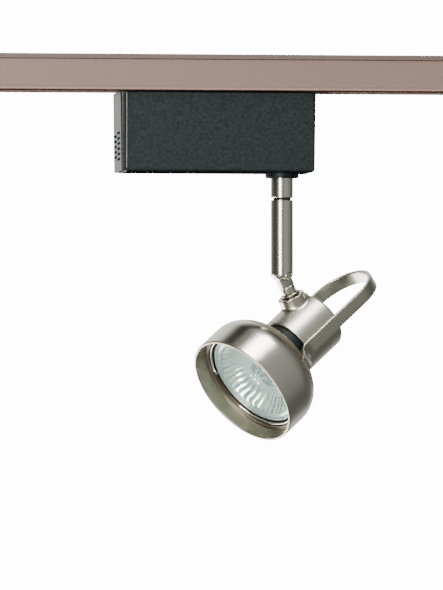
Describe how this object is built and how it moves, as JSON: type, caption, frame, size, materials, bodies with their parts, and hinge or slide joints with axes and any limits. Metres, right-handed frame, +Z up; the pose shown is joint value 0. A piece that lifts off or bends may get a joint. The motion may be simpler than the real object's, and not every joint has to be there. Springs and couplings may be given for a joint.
{
  "type": "track lighting fixture",
  "caption": "Low-voltage track light: housing that slides and locks in a track section, turning stem, tilting ring-cup lamp head with a loop handle.",
  "frame": {"origin": "middle of the track's top face, which lies against the ceiling", "axes": "+X along the track, +Z up into the ceiling, -Y towards the side the lamp is seen from"},
  "size_m": [0.311, 0.0767, 0.1878],
  "materials": {
    "taupe_paint": "semi-matt baked paint",
    "taupe_plastic": "moulded, matt",
    "white_pvc": "extruded",
    "copper": "bare copper",
    "brass": "turned",
    "black_plastic": "fine moulded texture",
    "grey_black_plastic": "fine moulded texture",
    "circuit_board": "lacquered laminate",
    "ferrite": "sintered ferrite",
    "black_sleeve": "smooth",
    "green_plastic": "moulded",
    "brushed_nickel": "satin brushed nickel plate",
    "zinc_steel": "zinc plated",
    "black_phenolic": "satin moulded",
    "ceramic": "unglazed ceramic",
    "spring_wire": "bright spring steel",
    "dichroic_glass": "pressed glass with a dichroic mirror coat",
    "clear_glass": "polished",
    "quartz_glass": "polished quartz"
  },
  "bodies": {
    "track": {"track_channel": "taupe_paint", "track_insulator_front": "white_pvc", "track_insulator_rear": "white_pvc", "track_conductors": "copper", "track_ground_strip": "copper", "track_end_cap_left": "taupe_plastic", "track_end_cap_right": "taupe_plastic"},
    "carriage": {"earth_button": "brass"},
    "fixture": {"adapter_head": "black_plastic", "adapter_contacts": "copper", "housing_cover": "black_plastic", "housing_end_plate": "grey_black_plastic", "transformer_board": "circuit_board", "transformer_core": "ferrite", "transformer_winding": "copper", "board_capacitors": "black_sleeve", "board_transistors": "black_sleeve", "board_terminal": "green_plastic", "board_posts": "black_plastic", "swivel_disc": "black_plastic", "stem_upper": "brushed_nickel", "swivel_washer": "black_plastic", "swivel_nipple": "zinc_steel", "nipple_nut": "zinc_steel", "swivel_retainer": "zinc_steel"},
    "stem": {"stem_lower": "brushed_nickel", "pivot_pin": "brushed_nickel"},
    "head": {"knuckle": "brushed_nickel", "neck_collar": "brushed_nickel", "neck_locknut": "zinc_steel", "socket_shell": "brushed_nickel", "insulator_collar": "black_phenolic", "lampholder": "ceramic", "lampholder_contacts": "brass", "socket_screws": "zinc_steel", "cup_shell": "brushed_nickel", "loop_strap": "brushed_nickel", "strap_screws": "zinc_steel", "retaining_ring": "spring_wire", "lamp_reflector": "dichroic_glass", "lamp_cover_glass": "clear_glass", "lamp_base": "ceramic", "lamp_pins": "zinc_steel", "lamp_capsule": "quartz_glass"}
  },
  "joints": [
    {"name": "track_slide", "type": "slide", "parent": "track", "child": "carriage", "axis": [1, 0, 0], "range_m": [-0.1, 0.1]},
    {"name": "twist_lock", "type": "hinge", "parent": "carriage", "child": "fixture", "pos_m": [0, 0, -0.004], "axis": [0, 0, 1], "range_deg": [0, 90]},
    {"name": "stem_swivel", "type": "hinge", "parent": "fixture", "child": "stem", "pos_m": [0.0333, 0, -0.0699], "axis": [0, 0, 1], "range_deg": [-175, 175]},
    {"name": "head_tilt", "type": "hinge", "parent": "stem", "child": "head", "pos_m": [0.0333, 0, -0.1072], "axis": [0.5, -0.866, 0], "range_deg": [-32, 52]}
  ]
}
